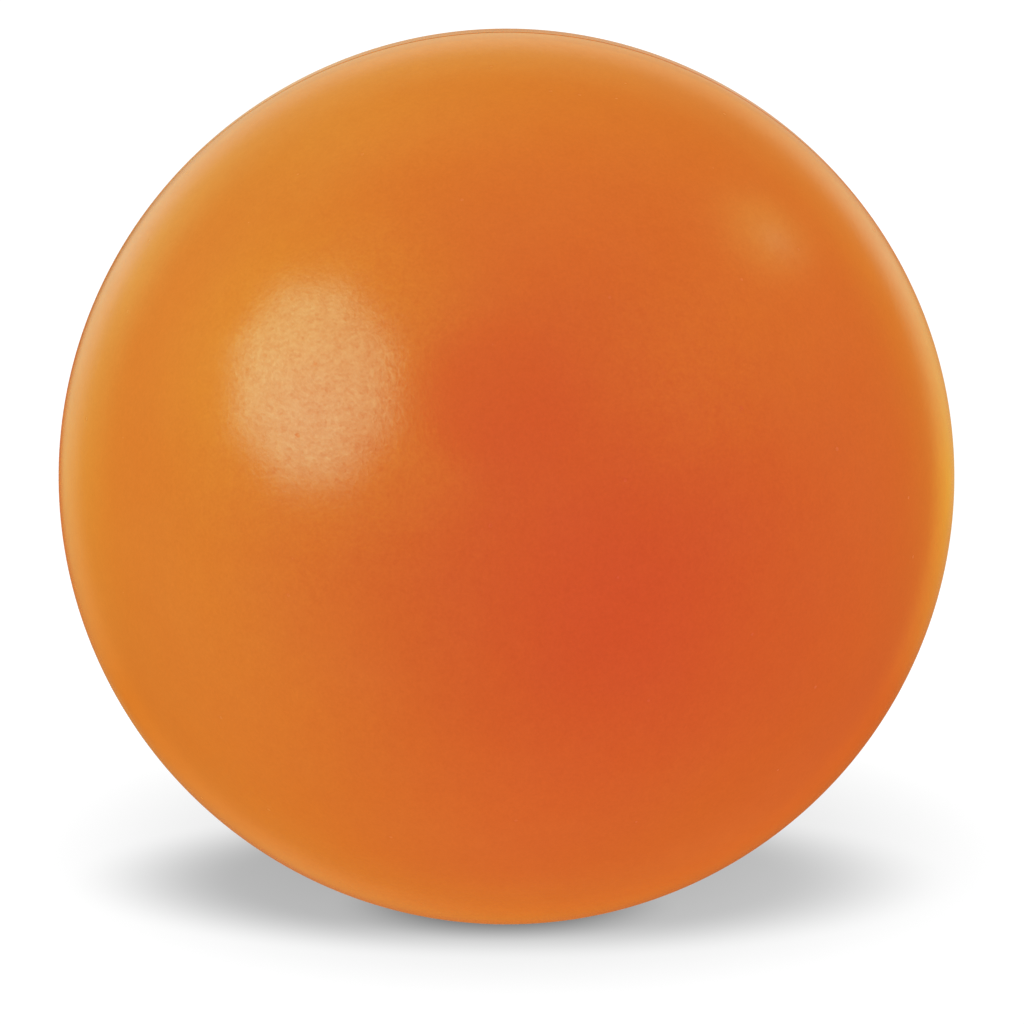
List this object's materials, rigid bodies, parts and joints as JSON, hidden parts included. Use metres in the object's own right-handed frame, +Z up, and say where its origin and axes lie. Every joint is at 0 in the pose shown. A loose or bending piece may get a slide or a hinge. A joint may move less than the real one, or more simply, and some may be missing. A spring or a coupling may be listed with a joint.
{
  "type": "table tennis ball",
  "caption": "Plain hollow orange ball of thin translucent satin plastic, its moulded half shells cemented together on an inner lapped seam.",
  "frame": {"origin": "centre of the ball", "axes": "+Z up; +Y along the common axis of the half shells, from the front half, which carries the inner lip, to the rear half; the seam lies in the XZ plane"},
  "size_m": [0.04, 0.04, 0.04],
  "materials": {
    "shell": "satin",
    "cement": "satin"
  },
  "bodies": {
    "root": {"front_half_shell": "shell", "rear_half_shell": "shell", "seam_cement": "cement"}
  },
  "joints": []
}
